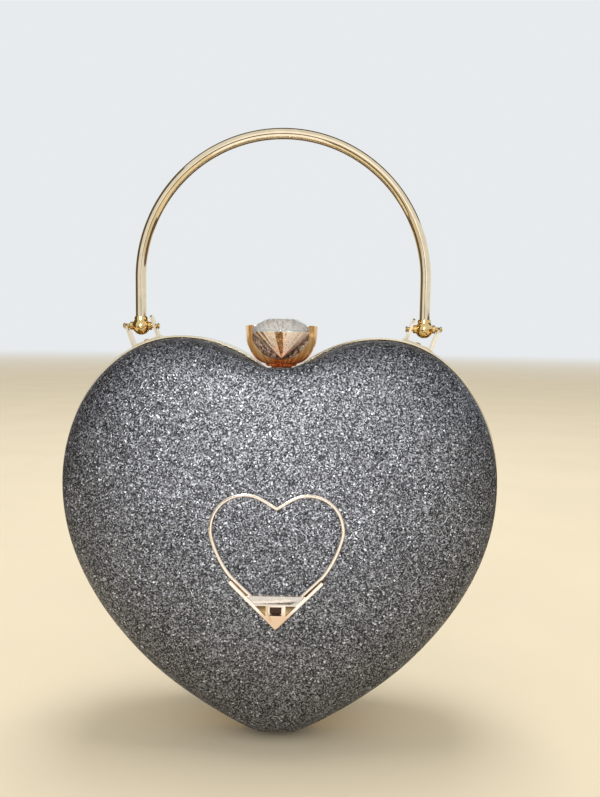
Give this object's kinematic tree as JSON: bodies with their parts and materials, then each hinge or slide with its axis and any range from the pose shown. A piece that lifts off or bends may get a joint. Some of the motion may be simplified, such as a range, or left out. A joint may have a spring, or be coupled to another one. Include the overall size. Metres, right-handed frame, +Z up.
{
  "type": "heart-shaped hard clutch bag",
  "caption": "Heart-shaped hard evening clutch with a glitter cover, a folding arched rod handle, a tilting crystal clasp, a heart ornament and a hinge under the tip.",
  "frame": {"origin": "on the ground under the tip, at the middle of the hinge", "axes": "+Z up towards the handle, -Y out of the front with the ornament, +X to the right as seen from the front; the halves meet in the plane Y = 0"},
  "size_m": [0.1682, 0.0601, 0.2352],
  "materials": {
    "glitter_fabric": "coarse glitter",
    "hard_shell": "moulded",
    "satin_lining": "satin",
    "rim_gold": "pale gold plating",
    "handle_gold": "polished pale gold",
    "warm_gold": "polished gold",
    "hardware_gold": "polished pale gold",
    "rose_gold": "polished rose gold",
    "steel": "plain",
    "crystal_glass": "cut and polished"
  },
  "bodies": {
    "back_half": {"back_rim": "rim_gold", "back_shell": "hard_shell", "back_cover": "glitter_fabric", "back_lining": "satin_lining", "hinge_leaf_back": "steel", "hinge_pin": "steel", "hinge_rivet_back_left": "steel", "hinge_rivet_back_right": "steel", "clasp_base": "hardware_gold", "clasp_pin": "hardware_gold", "clasp_rivet": "hardware_gold", "handle_bracket_left": "hardware_gold", "handle_bracket_right": "hardware_gold", "bracket_rivet_left": "hardware_gold", "bracket_rivet_right": "hardware_gold", "pivot_pin_left": "warm_gold", "pivot_pin_right": "warm_gold", "pivot_cap_left": "warm_gold", "pivot_cap_right": "warm_gold"},
    "front_half": {"front_rim": "rim_gold", "front_shell": "hard_shell", "front_cover": "glitter_fabric", "front_lining": "satin_lining", "hinge_leaf_front": "steel", "hinge_rivet_front_left": "steel", "hinge_rivet_front_right": "steel", "catch_plate": "steel", "catch_rivet_left": "steel", "catch_rivet_right": "steel", "heart_ring": "rose_gold", "ring_clip": "hardware_gold", "clip_nut_left": "steel", "clip_nut_right": "steel"},
    "handle": {"handle_rod": "handle_gold", "handle_ball_left": "warm_gold", "handle_ball_right": "warm_gold"},
    "clasp": {"clasp_cup": "rose_gold", "crystal": "crystal_glass", "clasp_tongue": "steel"}
  },
  "joints": [
    {"name": "front_half_opens", "type": "hinge", "parent": "back_half", "child": "front_half", "pos_m": [0, 0, 0.0019], "axis": [1, 0, 0], "range_deg": [0, 90]},
    {"name": "handle_swings", "type": "hinge", "parent": "back_half", "child": "handle", "pos_m": [0, 0.0033, 0.1587], "axis": [1, 0, 0], "range_deg": [-108, 108]},
    {"name": "clasp_tilts", "type": "hinge", "parent": "back_half", "child": "clasp", "pos_m": [0, 0.0066, 0.1446], "axis": [-1, 0, 0], "range_deg": [0, 60]}
  ]
}
